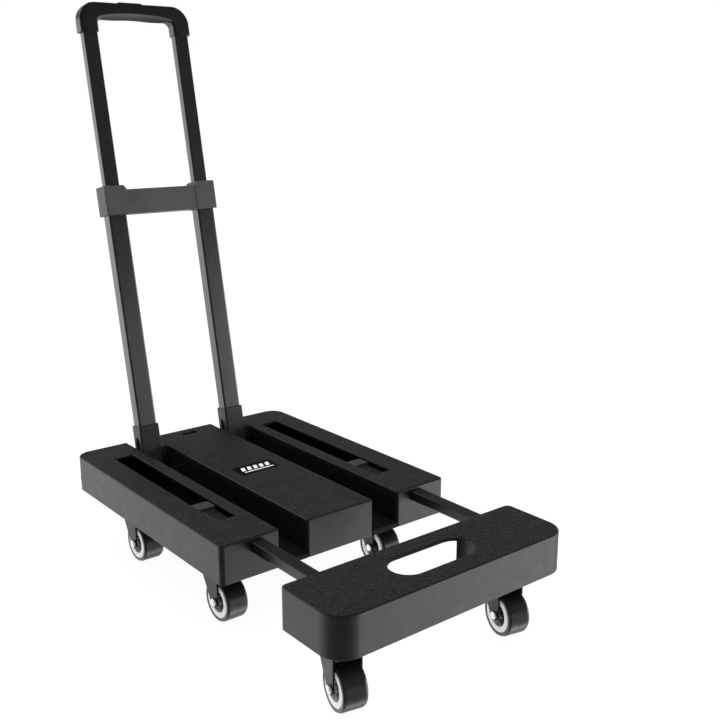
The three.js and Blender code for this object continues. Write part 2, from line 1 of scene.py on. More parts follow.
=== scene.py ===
"""Folding platform cart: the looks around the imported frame.

Pieces are drawn in millimetres, with X to the right, Y back from the deck's front face and Z up
from the ground. The handle is drawn upright about its hinge axis, and a caster about its
swivel axis with the wheel trailing along -Y. A matrix then sets each piece in the row frame.
"""
import json
import math

import bmesh
import bpy
from mathutils import Euler, Matrix, Vector


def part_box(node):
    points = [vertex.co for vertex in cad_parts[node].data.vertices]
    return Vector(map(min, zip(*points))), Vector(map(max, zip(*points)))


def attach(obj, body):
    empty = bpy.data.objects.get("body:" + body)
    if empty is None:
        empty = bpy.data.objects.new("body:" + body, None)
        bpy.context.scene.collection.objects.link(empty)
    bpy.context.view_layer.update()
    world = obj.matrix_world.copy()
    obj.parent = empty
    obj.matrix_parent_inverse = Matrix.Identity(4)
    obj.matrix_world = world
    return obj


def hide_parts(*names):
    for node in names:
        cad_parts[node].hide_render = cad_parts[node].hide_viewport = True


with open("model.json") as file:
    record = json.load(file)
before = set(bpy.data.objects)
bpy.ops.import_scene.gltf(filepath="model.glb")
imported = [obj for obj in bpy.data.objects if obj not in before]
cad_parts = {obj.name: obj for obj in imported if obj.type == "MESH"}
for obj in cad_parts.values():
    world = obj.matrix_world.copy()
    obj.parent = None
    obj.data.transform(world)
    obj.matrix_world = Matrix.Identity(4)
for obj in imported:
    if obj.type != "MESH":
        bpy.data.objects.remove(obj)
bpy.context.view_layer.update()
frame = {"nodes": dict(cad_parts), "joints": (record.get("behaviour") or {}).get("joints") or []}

# ---- frame: where the drawing coordinates lie in the row frame

MM = 0.001
JOINTS = {joint["name"]: joint for joint in frame["joints"]}
PLACES = ("front", "middle", "rear")
SIDES = (("left", -1), ("right", 1))

TO_ROW = Matrix.Translation((0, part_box("centre_deck_cover")[0].y, 0)) @ Matrix.Scale(MM, 4)


def drawn_box(node):
    """A CAD node's lowest and highest corner, in drawing coordinates."""
    back = TO_ROW.inverted()
    low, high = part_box(node)
    return back @ low, back @ high


def handle_frame():
    """Sets the upright handle on its hinge axis, leaning back."""
    axis = Vector(JOINTS["handle_telescope"]["axis"])
    lean = math.atan2(axis.y, axis.z)
    place = Matrix.Translation(JOINTS["handle_fold"]["pos_m"])
    return place @ Matrix.Rotation(-lean, 4, "X") @ Matrix.Scale(MM, 4)


def swivel_frame(prefix):
    """Sets a caster on its swivel axis, turned as it stands at rest."""
    stem = Vector(JOINTS[f"{prefix}_swivel"]["pos_m"])
    axle = Vector(JOINTS[f"{prefix}_roll"]["pos_m"])
    turn = math.atan2(axle.x - stem.x, stem.y - axle.y)
    place = Matrix.Translation((stem.x, stem.y, 0))
    return place @ Matrix.Rotation(turn, 4, "Z") @ Matrix.Scale(MM, 4)


HANDLE = handle_frame()

# ---- driving dimensions, in millimetres

DECK_LOW, DECK_HIGH = drawn_box("left_deck_cover")
DECK_BOTTOM, DECK_TOP = DECK_LOW.z, DECK_HIGH.z
DECK_LENGTH = DECK_HIGH.y - DECK_LOW.y
HALF_WIDTH = -DECK_LOW.x
SIDE_INNER = -DECK_HIGH.x
CENTRE_HALF = drawn_box("centre_deck_cover")[1].x
WALL = 4
CEILING = DECK_TOP - WALL
PLATE_TOP = drawn_box("deck_base")[1].z
GAP = 0.3
REAR_CORNER, FRONT_CORNER, INNER_CORNER = 24, 7, 3
TOP_EDGE = 2.2
FOOT_EDGE = 0.6
SLOT_EDGE = 0.8
SHARP = 0.01
SLOT = {"x": 143, "width": 32, "front": 77, "rear": 397, "corner": 1.2}
SIDE_HOLE = {"y": 439, "z": 121, "radius": 3.5, "depth": 3.2}
REAR_SLOT = {"x": 2.5, "y": 437, "width": 28, "length": 9, "corner": 2.2}
ROD = {"x": SLOT["x"], "wall": 1.5, "corner": 1.8, "clearance": 0.4, "hole_corner": 1.6}
LABEL = {"corner": 1, "pocket_corner": 1.2}
MARK = {"bars": 5, "width": 6.8, "height": 12.8, "lean": 4.4, "pitch": 11.2, "foot": -3.2,
        "line": 54, "line_width": 2.5, "line_y": -9.2, "raised": 0.06}

BAR_LOW, BAR_HIGH = drawn_box("front_bar_shell")
BAR_FRONT_CORNER, BAR_REAR_CORNER = 35, 9
BAR_BASE_EDGE = 0.8
HAND_HOLE = {"length": 136, "width": 51, "y": -191, "edge": 2.6, "rim": 3.5}
BAR_OPENING = {"width": 236, "front": -173}
SCREW = {"radius": 3.6, "top": 2.9, "bottom": 0.5, "cross": 1.0, "bore": 4.3,
         "arm": 4.2, "arm_width": 0.9}

TUBE_X = 83
TUBE_CORNER = 3.2
INNER_TUBE_CORNER = 2.4
LOOSE = 0.8
HINGE = {"bore": 4.3, "cheek": 4.2, "floor": 2.5, "edge": 0.8, "round": 9}

CASTER_AXLE_Y = -20
CASTER_AXLE_Z = 31
AXLE_BORE = 4.2

# ---- outlines


def outline(corners, radii, inset=0.0, steps=8):
    """A closed outline, anticlockwise, moved in by inset, with each corner turned into an arc."""
    points = []
    count = len(corners)
    for index, corner in enumerate(corners):
        here = Vector(corner)
        arriving = (here - Vector(corners[index - 1])).normalized()
        leaving = (Vector(corners[(index + 1) % count]) - here).normalized()
        inward = Vector((-arriving.y, arriving.x))
        onward = Vector((-leaving.y, leaving.x))
        here = here + (inward + onward) * (inset / (1 + inward.dot(onward)))
        turn = math.atan2(arriving.cross(leaving), arriving.dot(leaving))
        hand = 1 if turn > 0 else -1
        radius = max(radii[index] - hand * inset, 0.05)
        reach = radius * math.tan(abs(turn) / 2)
        centre = here - arriving * reach + inward * radius * hand
        start = -inward * radius * hand
        for step in range(steps + 1):
            spin = Matrix.Rotation(turn * step / steps, 2)
            points.append(centre + spin @ start)
    return points


def rectangle(x0, y0, x1, y1):
    return [(x0, y0), (x1, y0), (x1, y1), (x0, y1)]


def centred(width, depth, x=0.0, y=0.0):
    return rectangle(x - width / 2, y - depth / 2, x + width / 2, y + depth / 2)


def edge_levels(radius, height, steps=4):
    """(inset, height) pairs round an edge, from the flat end to the upright face."""
    pairs = []
    for step in range(steps + 1):
        angle = math.pi / 2 * step / steps
        pairs.append((radius * (1 - math.sin(angle)), height - radius * (1 - math.cos(angle))))
    return pairs


# ---- meshes

UPRIGHT = Matrix.Identity(4)
THROUGH_Y = Matrix(((1, 0, 0, 0), (0, 0, -1, 0), (0, 1, 0, 0), (0, 0, 0, 1)))
THROUGH_X = Matrix(((0, 0, 1, 0), (1, 0, 0, 0), (0, 1, 0, 0), (0, 0, 0, 1)))


def ring(bm, points, height, matrix=UPRIGHT):
    return [bm.verts.new(matrix @ Vector((point[0], point[1], height))) for point in points]


def join_rings(bm, rings):
    for low, high in zip(rings, rings[1:]):
        for index, vertex in enumerate(low):
            before = index - 1
            bm.faces.new((low[before], vertex, high[index], high[before]))


def walled(bm, corners, radii, levels, steps=8, matrix=UPRIGHT):
    """Joins rings of an outline, one at each (inset, height), and returns them."""
    rings = [ring(bm, outline(corners, radii, inset, steps), z, matrix) for inset, z in levels]
    join_rings(bm, rings)
    return rings


def fill(bm, loops, finish=0):
    """Fills the flat region inside the first loop and outside the others."""
    edges = []
    for loop in loops:
        edges += [bm.edges.get((loop[index - 1], vertex)) for index, vertex in enumerate(loop)]
    made = bmesh.ops.triangle_fill(bm, use_beauty=True, use_dissolve=False, edges=edges)
    for face in made["geom"]:
        if isinstance(face, bmesh.types.BMFace):
            face.material_index = finish


def prism(corners, radii, low, high, edges=(0.0, 0.0), matrix=UPRIGHT, steps=8):
    """A solid between two flat ends, with rounded ends where their edge radius isn't zero."""
    bm = bmesh.new()
    levels = []
    if edges[0]:
        levels += [(inset, low + high - z) for inset, z in edge_levels(edges[0], high)]
    else:
        levels.append((0, low))
    if edges[1]:
        levels += list(reversed(edge_levels(edges[1], high)))
    else:
        levels.append((0, high))
    rings = walled(bm, corners, radii, levels, steps, matrix)
    fill(bm, [rings[0]])
    fill(bm, [rings[-1]])
    return bm


def turned(profile, steps=96):
    """A piece turned about the X axis, from a closed profile of (along, radius) pairs."""
    bm = bmesh.new()
    rings = []
    for along, radius in profile:
        circle = []
        for step in range(steps):
            angle = 2 * math.pi * step / steps
            circle.append(bm.verts.new((along, radius * math.cos(angle), radius * math.sin(angle))))
        rings.append(circle)
    join_rings(bm, rings + rings[:1])
    bmesh.ops.remove_doubles(bm, verts=bm.verts, dist=1e-4)
    return bm


def round_bar(radius, low, high, edge, matrix=UPRIGHT, steps=48):
    """A round bar along its own Z, with rounded ends."""
    bm = bmesh.new()
    levels = [(inset, low + high - z) for inset, z in edge_levels(edge, high, 3)]
    levels += list(reversed(edge_levels(edge, high, 3)))
    rings = []
    for inset, z in levels:
        spots = []
        for step in range(steps):
            angle = 2 * math.pi * step / steps
            spots.append(((radius - inset) * math.cos(angle), (radius - inset) * math.sin(angle)))
        rings.append(ring(bm, spots, z, matrix))
    join_rings(bm, rings)
    bm.faces.new(rings[0])
    bm.faces.new(rings[-1])
    return bm


def moved(bm, matrix):
    bmesh.ops.transform(bm, matrix=matrix, verts=bm.verts)
    return bm


def finished_mesh(bm, name, face_out=True):
    if face_out:
        bmesh.ops.recalc_face_normals(bm, faces=bm.faces)
    mesh = bpy.data.meshes.new(name)
    bm.to_mesh(mesh)
    bm.free()
    return mesh


def new_object(name, data):
    obj = bpy.data.objects.new(name, data)
    bpy.context.scene.collection.objects.link(obj)
    return obj


def together(*parts):
    """Puts separate closed solids into one mesh."""
    whole = bmesh.new()
    for part in parts:
        mesh = finished_mesh(part, "part", False)
        whole.from_mesh(mesh)
        bpy.data.meshes.remove(mesh)
    return whole


def combined(base, tools, operation):
    """The base after an exact boolean with each tool."""
    solids = [new_object("scratch", finished_mesh(bm, "scratch")) for bm in (base, *tools)]
    body, *cutters = solids
    for cutter in cutters:
        step = body.modifiers.new("boolean", "BOOLEAN")
        step.operation = operation
        step.solver = "EXACT"
        step.object = cutter
    bpy.context.view_layer.update()
    evaluated = body.evaluated_get(bpy.context.evaluated_depsgraph_get())
    result = bmesh.new()
    result.from_mesh(evaluated.to_mesh())
    evaluated.to_mesh_clear()
    for obj in solids:
        mesh = obj.data
        bpy.data.objects.remove(obj)
        bpy.data.meshes.remove(mesh)
    return result


def cut(base, *tools):
    return combined(base, tools, "DIFFERENCE")


def merge(base, *tools):
    return combined(base, tools, "UNION")


def overlap(base, *tools):
    return combined(base, tools, "INTERSECT")


SHARP_ANGLE = math.radians(38)


def piece(bm, name, body, finishes, replaces=(), matrix=TO_ROW):
    """Makes the mesh a named piece in the row frame that rides on a body."""
    place_mesh(finished_mesh(bm, name), name, body, finishes, replaces, matrix)


def place_mesh(mesh, name, body, finishes, replaces, matrix):
    """Sets a mesh in the row frame, smooth but for its sharp edges, as a piece of a body."""
    mesh.transform(matrix)
    mesh.polygons.foreach_set("use_smooth", [True] * len(mesh.polygons))
    mesh.set_sharp_from_angle(angle=SHARP_ANGLE)
    for finish in finishes:
        mesh.materials.append(finish)
    obj = new_object(name, mesh)
    weighted = obj.modifiers.new("weighted normals", "WEIGHTED_NORMAL")
    weighted.keep_sharp = True
    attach(obj, body)
    if replaces:
        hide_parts(*replaces)


# ---- materials


def new_node(tree, kind, **settings):
    node = tree.nodes.new(kind)
    for key, value in settings.items():
        setattr(node, key, value)
    return node


class Nodes:
    """A material's node tree, with its shader ready and short calls to add to it."""

    def __init__(self, name, colour, roughness, **inputs):
        self.material = bpy.data.materials.new(name)
        self.material.use_nodes = True
        self.tree = self.material.node_tree
        self.shader = self.tree.nodes["Principled BSDF"]
        self.shader.inputs["Base Color"].default_value = (*colour, 1)
        self.shader.inputs["Roughness"].default_value = roughness
        for socket, value in inputs.items():
            self.shader.inputs[socket.replace("_", " ")].default_value = value
        self.colour = colour
        self.place = self.add("ShaderNodeTexCoord").outputs["Object"]

    def add(self, kind, **settings):
        return new_node(self.tree, kind, **settings)

    def link(self, output, node, socket):
        self.tree.links.new(output, node.inputs[socket])

    def noise(self, size, detail=4.0, stretch=None):
        """Noise whose features are about size metres across."""
        node = self.add("ShaderNodeTexNoise")
        node.inputs["Scale"].default_value = 1 / size
        node.inputs["Detail"].default_value = detail
        source = self.place
        if stretch:
            mapping = self.add("ShaderNodeMapping")
            mapping.inputs["Scale"].default_value = stretch
            self.link(source, mapping, "Vector")
            source = mapping.outputs["Vector"]
        self.link(source, node, "Vector")
        return node.outputs["Fac"]

    def scaled(self, value, low, high, start=0.3, end=0.7):
        """Turns the value's range start to end into low to high."""
        node = self.add("ShaderNodeMapRange")
        node.inputs["From Min"].default_value = start
        node.inputs["From Max"].default_value = end
        node.inputs["To Min"].default_value = low
        node.inputs["To Max"].default_value = high
        self.link(value, node, "Value")
        return node.outputs["Result"]

    def vary_colour(self, value, spread):
        """Lightens and darkens the base colour by spread, a share of it."""
        ramp = self.add("ShaderNodeValToRGB")
        for element, factor in zip(ramp.color_ramp.elements, (1 - spread, 1 + spread)):
            element.color = (*[channel * factor for channel in self.colour], 1)
        ramp.color_ramp.elements[0].position = 0.3
        ramp.color_ramp.elements[1].position = 0.7
        self.link(value, ramp, "Fac")
        self.link(ramp.outputs["Color"], self.shader, "Base Color")

    def vary_roughness(self, value, low, high):
        self.link(self.scaled(value, low, high), self.shader, "Roughness")

    def bump(self, height, depth, under=None):
        """Bumps of the given depth in metres, on top of another bump if one is given."""
        node = self.add("ShaderNodeBump")
        node.inputs["Strength"].default_value = 1
        node.inputs["Distance"].default_value = depth
        self.link(height, node, "Height")
        if under:
            self.link(under, node, "Normal")
        return node.outputs["Normal"]

    def finish(self, normal):
        self.link(normal, self.shader, "Normal")
        return self.material


def moulded(name, grey, roughness, grain=0.00045, depth=0.00002, **inputs):
    """Satin moulded plastic: a fine spark-eroded grain, and faint broad changes of gloss."""
    nodes = Nodes(name, (grey, grey, grey), roughness, **inputs)
    broad = nodes.noise(0.06, 3)
    nodes.vary_colour(broad, 0.12)
    nodes.vary_roughness(nodes.noise(0.012, 5), roughness - 0.03, roughness + 0.04)
    return nodes.finish(nodes.bump(nodes.noise(grain, 2), depth))


def pebbled(name, grey, roughness):
    """The decks' non-slip skin: small leather-like pebbles in slanted rows, with painted shade in
    the hollows between them and their crowns painted lighter.
    """
    nodes = Nodes(name, (grey, grey, grey), roughness, Specular_IOR_Level=0.34)
    mapping = nodes.add("ShaderNodeMapping")
    mapping.inputs["Rotation"].default_value = (0, 0, math.radians(33))
    mapping.inputs["Scale"].default_value = (1, 0.72, 1)
    nodes.link(nodes.place, mapping, "Vector")
    cells = nodes.add("ShaderNodeTexVoronoi", feature="SMOOTH_F1")
    cells.inputs["Scale"].default_value = 1 / PEBBLE
    cells.inputs["Randomness"].default_value = 0.45
    cells.inputs["Smoothness"].default_value = 0.35
    nodes.link(mapping.outputs["Vector"], cells, "Vector")
    height = nodes.scaled(cells.outputs["Distance"], 1, 0, 0.1, 0.75)
    # Painted shade: the colour follows the pebbles' height, darker in the hollows between them and
    # lighter on their crowns.
    nodes.vary_colour(height, 0.6)
    nodes.vary_roughness(nodes.noise(0.02, 4), roughness - 0.04, roughness + 0.05)
    pebbles = nodes.bump(height, PEBBLE_DEPTH)
    return nodes.finish(nodes.bump(nodes.noise(0.0005, 2), 0.00002, under=pebbles))


def drawn_metal(name, grey, roughness, stretch, **inputs):
    """Painted or plated tube: faint lines along its length."""
    nodes = Nodes(name, (grey, grey, grey), roughness, **inputs)
    lines = nodes.noise(0.0016, 3, stretch)
    nodes.vary_colour(nodes.noise(0.05, 3), 0.1)
    nodes.vary_roughness(lines, roughness - 0.05, roughness + 0.05)
    return nodes.finish(nodes.bump(lines, 0.000004))


# Metres, as the materials work in the row frame's units.
PEBBLE = 0.0036
PEBBLE_DEPTH = 0.0009

ALONG_X = (0.02, 1, 1)
ALONG_Y = (1, 0.02, 1)
ALONG_Z = (1, 1, 0.02)

FINISH = {
    "deck_side": moulded("deck side plastic", 0.004, 0.42),
    "deck_top": pebbled("deck top pebbles", 0.0092, 0.62),
    "base": moulded("base plastic", 0.004, 0.6, Specular_IOR_Level=0.12),
    "rod": drawn_metal("rod paint", 0.0045, 0.34, ALONG_Y, Specular_IOR_Level=0.4),
    "tube": drawn_metal("tube paint", 0.009, 0.2, ALONG_Z, Specular_IOR_Level=0.75),
    "joint": moulded("joint plastic", 0.07, 0.38, Specular_IOR_Level=0.2),
    "socket": moulded("socket plastic", 0.014, 0.48),
    "stop": moulded("stop plastic", 0.028, 0.45, Specular_IOR_Level=0.4),
    "grip": moulded("grip rubber", 0.003, 0.3, 0.0006, 0.00002, Specular_IOR_Level=0.62),
    "button": moulded("button plastic", 0.008, 0.4),
    "hinge": drawn_metal("hinge steel", 0.02, 0.4, ALONG_Y, Metallic=0.6),
    "fork": moulded("fork plastic", 0.005, 0.3, Specular_IOR_Level=0.22),
    "hub": moulded("hub plastic", 0.004, 0.35),
    "ring": moulded("wheel ring plastic", 0.93, 0.32),
    "tyre": moulded("tyre rubber", 0.016, 0.24, 0.0008, 0.00001, Specular_IOR_Level=0.42),
    "axle": drawn_metal("axle steel", 0.75, 0.25, ALONG_X, Metallic=1.0),
    "label": moulded("label lacquer", 0.0015, 0.3, depth=0.000005, Specular_IOR_Level=0.03),
    "mark": moulded("label print", 0.85, 0.4, depth=0.000005),
}

# ---- deck covers


def side_outline(sign):
    """Corners and radii of a side block, anticlockwise from the front left one."""
    x0, x1 = sorted((sign * HALF_WIDTH, sign * SIDE_INNER))
    if sign < 0:
        radii = [FRONT_CORNER, INNER_CORNER, INNER_CORNER, REAR_CORNER]
    else:
        radii = [INNER_CORNER, FRONT_CORNER, REAR_CORNER, INNER_CORNER]
    return rectangle(x0, 0, x1, DECK_LENGTH), radii


def outer_levels():
    """(inset, height) pairs down the outside of a cover, from its top edge to its foot."""
    foot = [(0, DECK_BOTTOM + FOOT_EDGE), (FOOT_EDGE, DECK_BOTTOM)]
    return edge_levels(TOP_EDGE, DECK_TOP) + foot


def open_cover(corners, radii, holes):
    """An open-bottomed cover with a rounded top edge. A hole is (corners, radii, floor): it goes
    right through where its floor is None."""
    bm = bmesh.new()
    levels = outer_levels()
    levels += [(WALL, DECK_BOTTOM), (WALL, CEILING - 1), (WALL + 1, CEILING)]
    skin = walled(bm, corners, radii, levels)
    top_loops = [skin[0]]
    ceiling_loops = [skin[-1]]
    for hole_corners, hole_radii, floor in holes:
        levels = [(-inset, z) for inset, z in edge_levels(SLOT_EDGE, DECK_TOP, 3)]
        levels.append((0, CEILING if floor is None else floor))
        rim = walled(bm, hole_corners, hole_radii, levels)
        top_loops.append(rim[0])
        if floor is None:
            ceiling_loops.append(rim[-1])
        else:
            fill(bm, [rim[-1]])
    fill(bm, top_loops, 1)
    fill(bm, ceiling_loops)
    return bm


def groove_wall_clearance(x0, x1):
    """The walls beside the grooves stand on the plate, so they stop above it."""
    corners = rectangle(x0, WALL, x1, DECK_LENGTH - WALL)
    return prism(corners, [0] * 4, DECK_BOTTOM - 1, PLATE_TOP + GAP, steps=1)


def rod_opening(sign, y0, y1):
    """The hole that a rod passes through, in the wall between y0 and y1."""
    low, high = drawn_box("left_rod")
    width = high.x - low.x + 2 * ROD["clearance"]
    height = high.z - low.z + 2 * ROD["clearance"]
    corners = centred(width, height, sign * ROD["x"], (low.z + high.z) / 2)
    return prism(corners, [ROD["hole_corner"]] * 4, -y1, -y0, matrix=THROUGH_Y, steps=4)


def make_side_cover(side, sign):
    corners, radii = side_outline(sign)
    slot = rectangle(
        sign * SLOT["x"] - SLOT["width"] / 2, SLOT["front"],
        sign * SLOT["x"] + SLOT["width"] / 2, SLOT["rear"])
    bm = open_cover(corners, radii, [(slot, [SLOT["corner"]] * 4, None)])
    x0, x1 = sorted((sign * (SIDE_INNER - 1), sign * (SIDE_INNER + WALL + 1)))
    depth = SIDE_HOLE["depth"]
    hole = round_bar(SIDE_HOLE["radius"], -depth, depth, SHARP, THROUGH_X, 24)
    moved(hole, Matrix.Translation((sign * HALF_WIDTH, SIDE_HOLE["y"], SIDE_HOLE["z"])))
    bm = cut(bm, groove_wall_clearance(x0, x1), rod_opening(sign, -1, WALL + 1), hole)
    finishes = [FINISH["deck_side"], FINISH["deck_top"]]
    name = f"{side}_deck_cover"
    piece(bm, f"{name}_detailed", "deck", finishes, [name])


def make_centre_cover():
    corners = rectangle(-CENTRE_HALF, 0, CENTRE_HALF, DECK_LENGTH)
    low, high = drawn_box("label_plate")
    pocket = rectangle(low.x - GAP, low.y - GAP, high.x + GAP, high.y + GAP)
    rear_slot = centred(REAR_SLOT["width"], REAR_SLOT["length"], REAR_SLOT["x"], REAR_SLOT["y"])
    holes = [
        (pocket, [LABEL["pocket_corner"]] * 4, low.z - GAP),
        (rear_slot, [REAR_SLOT["corner"]] * 4, None)]
    bm = open_cover(corners, [INNER_CORNER] * 4, holes)
    reach = CENTRE_HALF + 1
    inner = CENTRE_HALF - WALL - 1
    bm = cut(bm, groove_wall_clearance(-reach, -inner), groove_wall_clearance(inner, reach))
    finishes = [FINISH["deck_side"], FINISH["deck_top"]]
    piece(bm, "centre_deck_cover_detailed", "deck", finishes, ["centre_deck_cover"])


def make_label():
    """A lacquered plate with a plain mark: a row of slanted bars over a thin line."""
    low, high = drawn_box("label_plate")
    sides = rectangle(low.x, low.y, high.x, high.y)
    plate = prism(sides, [LABEL["corner"]] * 4, low.z, high.z, (0.2, 0.4))
    piece(plate, "label_plate_detailed", "deck", [FINISH["label"]], ["label_plate"])
    middle = (low + high) / 2
    top = high.z + MARK["raised"]
    half, lean = MARK["width"] / 2, MARK["lean"] / 2
    marks = []
    for index in range(MARK["bars"]):
        x = middle.x + (index - (MARK["bars"] - 1) / 2) * MARK["pitch"]
        y0 = middle.y + MARK["foot"]
        y1 = y0 + MARK["height"]
        corners = [
            (x - half - lean, y0), (x + half - lean, y0),
            (x + half + lean, y1), (x - half + lean, y1)]
        marks.append(prism(corners, [0.4] * 4, high.z, top, steps=3))
    line = centred(MARK["line"], MARK["line_width"], middle.x, middle.y + MARK["line_y"])
    marks.append(prism(line, [0.6] * 4, high.z, top, steps=3))
    piece(together(*marks), "label_mark", "deck", [FINISH["mark"]])


# ---- front bar


def bar_shape():
    corners = rectangle(BAR_LOW.x, BAR_LOW.y, BAR_HIGH.x, BAR_HIGH.y)
    return corners, [BAR_FRONT_CORNER] * 2 + [BAR_REAR_CORNER] * 2


def hand_hole_shape(grow=0.0):
    radius = HAND_HOLE["width"] / 2 + grow
    corners = centred(HAND_HOLE["length"] + 2 * grow, 2 * radius, 0, HAND_HOLE["y"])
    return corners, [radius - 0.01] * 4


def bar_rear_opening():
    """The space under the bar's top, behind the hand hole and between the rods."""
    half = BAR_OPENING["width"] / 2
    corners = rectangle(-half, BAR_OPENING["front"], half, BAR_HIGH.y + 1)
    return prism(corners, [0] * 4, DECK_BOTTOM - 1, CEILING, steps=1)


def make_bar_shell():
    """The hollow bar: an outer skin, and a rim that hangs down round the hand hole."""
    corners, radii = bar_shape()
    hole, hole_radii = hand_hole_shape()
    bm = bmesh.new()
    steps = 20
    levels = outer_levels() + [(WALL, DECK_BOTTOM), (WALL, CEILING)]
    skin = walled(bm, corners, radii, levels, steps)
    levels = [(-inset, z) for inset, z in edge_levels(HAND_HOLE["edge"], DECK_TOP, 5)]
    levels += [(0, DECK_BOTTOM + 1), (-1, DECK_BOTTOM)]
    levels += [(-HAND_HOLE["rim"], DECK_BOTTOM), (-HAND_HOLE["rim"], CEILING)]
    rim = walled(bm, hole, hole_radii, levels, steps)
    fill(bm, [skin[0], rim[0]], 1)
    fill(bm, [skin[-1], rim[-1]])
    rear = BAR_HIGH.y
    openings = [rod_opening(sign, rear - WALL - 1, rear + 1) for _, sign in SIDES]
    bm = cut(bm, bar_rear_opening(), *openings)
    finishes = [FINISH["deck_side"], FINISH["deck_top"]]
    node = "front_bar_shell"
    piece(bm, f"{node}_detailed", "front_bar", finishes, [node])


def screw_head(x, y, low):
    """A cross-headed screw that stands in its bore in a plate's underside, at the height low."""
    bottom = low + SCREW["bottom"]
    head = round_bar(SCREW["radius"], bottom, low + SCREW["top"], 0.7, steps=24)
    arms = [
        prism(centred(*size), [0] * 4, bottom - 1, bottom + SCREW["cross"], steps=1)
        for size in ((SCREW["arm"], SCREW["arm_width"]), (SCREW["arm_width"], SCREW["arm"]))]
    return moved(cut(head, *arms), Matrix.Translation((x, y, 0)))


def with_screws(plate, node, body, spots):
    """Places a plate with a bored hole at each spot, and the screws in the holes."""
    low, _ = drawn_box(node)
    bores = []
    for x, y in spots:
        bore = round_bar(SCREW["bore"], low.z - 1, low.z + SCREW["top"], SHARP, steps=24)
        bores.append(moved(bore, Matrix.Translation((x, y, 0))))
    piece(cut(plate, *bores), f"{node}_detailed", body, [FINISH["base"]], [node])
    screws = together(*[screw_head(x, y, low.z) for x, y in spots])
    piece(screws, f"{node}_screws", body, [FINISH["hinge"]])


def make_bar_base():
    """The plate that closes the bar from below, round the hand hole."""
    corners, radii = bar_shape()
    low, high = drawn_box("front_bar_base")
    inset = WALL + GAP
    hole, hole_radii = hand_hole_shape(HAND_HOLE["rim"] + GAP)
    plate = bmesh.new()
    steps = 12
    bottom_edge = [(extra, low.z + high.z - z) for extra, z in edge_levels(BAR_BASE_EDGE, high.z)]
    levels = [(inset + extra, z) for extra, z in bottom_edge] + [(inset, high.z)]
    skin = walled(plate, corners, radii, levels, steps)
    levels = [(-extra, z) for extra, z in bottom_edge] + [(0, high.z)]
    rim = walled(plate, hole, hole_radii, levels, steps)
    fill(plate, [skin[0], rim[0]])
    fill(plate, [skin[-1], rim[-1]])
    plate = cut(plate, bar_rear_opening())
    spots = [(x, y) for x in (-182, -97, 97, 182) for y in (-232, -205)]
    with_screws(plate, "front_bar_base", "front_bar", spots)


# ---- deck base


def make_deck_base():
    """The load plate: its edge shows under the grooves, and its underside from below."""
    low, high = drawn_box("deck_base")
    inset = WALL + GAP
    half = HALF_WIDTH - inset
    radii = [FRONT_CORNER, FRONT_CORNER, REAR_CORNER - WALL, REAR_CORNER - WALL]
    plate = prism(rectangle(-half, inset, half, DECK_LENGTH - inset), radii, low.z, high.z)
    tongues = []
    for _, sign in SIDES:
        x0, x1 = sorted((sign * (CENTRE_HALF + GAP), sign * (SIDE_INNER - GAP)))
        tongues.append(prism(rectangle(x0, 0, x1, DECK_LENGTH), [1] * 4, low.z, high.z, (0.5, 0.8)))
    bm = merge(plate, *tongues)
    spots = [(x, y) for x in (-183, -45, 45, 183) for y in (20, 230, 440)]
    with_screws(bm, "deck_base", "deck", spots)


# ---- rods


def tube(width, depth, wall, low, high, corner, matrix=UPRIGHT):
    """An open rectangular tube along its own Z, with rounded corners and edges."""
    bm = bmesh.new()
    corners = centred(width, depth)
    radii = [corner] * 4
    edge = min(0.3, wall / 3)
    levels = [(edge, low), (0, low + edge), (0, high - edge), (edge, high)]
    levels += [(wall - edge, high), (wall, high - edge), (wall, low + edge), (wall - edge, low)]
    rings = [ring(bm, outline(corners, radii, inset, 6), z, matrix) for inset, z in levels]
    join_rings(bm, rings + rings[:1])
    return bm


def make_rod(side):
    """A rod, and the stop that caps its rear end."""
    low, high = drawn_box(f"{side}_rod")
    width, height = high.x - low.x, high.z - low.z
    end, middle_z = high.y, (low.z + high.z) / 2
    bm = tube(width, height, ROD["wall"], -high.y, -low.y, ROD["corner"], THROUGH_Y)
    moved(bm, Matrix.Translation(((low.x + high.x) / 2, 0, middle_z)))
    piece(bm, f"{side}_rod_detailed", "front_bar", [FINISH["rod"]], [f"{side}_rod"])

    low, high = drawn_box(f"{side}_rod_stop")
    block = prism(rectangle(low.x, low.y, high.x, high.y), [2] * 4, low.z, high.z, (0.6, 1.2))
    section = centred(width + 2 * GAP, height + 2 * GAP, (low.x + high.x) / 2, middle_z)
    pocket = prism(section, [1.9] * 4, -end - GAP, -low.y + 1, matrix=THROUGH_Y, steps=4)
    bm = cut(block, pocket)
    name = f"{side}_rod_stop"
    piece(bm, f"{name}_detailed", "front_bar", [FINISH["stop"]], [name])


# ---- handle


def make_hinge_base(side):
    """A U bracket whose two cheeks hold the hinge pin."""
    name = f"{side}_hinge_base"
    low, high = drawn_box(name)
    cheek, edge = HINGE["cheek"], HINGE["edge"]
    pin = TO_ROW.inverted() @ Vector(JOINTS["handle_fold"]["pos_m"])
    sides = rectangle(low.y, low.z, high.y, high.z)
    radii = [1, 1, HINGE["round"], HINGE["round"]]
    body = prism(sides, radii, low.x, high.x, (edge, edge), THROUGH_X)
    inside = rectangle(low.x + cheek, low.z + HINGE["floor"], high.x - cheek, high.z + 5)
    channel = prism(inside, [1.5, 1.5, 0, 0], -high.y - 1, -low.y + 1, matrix=THROUGH_Y)
    bore = round_bar(HINGE["bore"], low.x - 1, high.x + 1, SHARP, THROUGH_X, 32)
    moved(bore, Matrix.Translation((0, pin.y, pin.z)))
    bm = cut(body, channel, bore)
    piece(bm, f"{name}_detailed", "deck", [FINISH["hinge"]], [name])


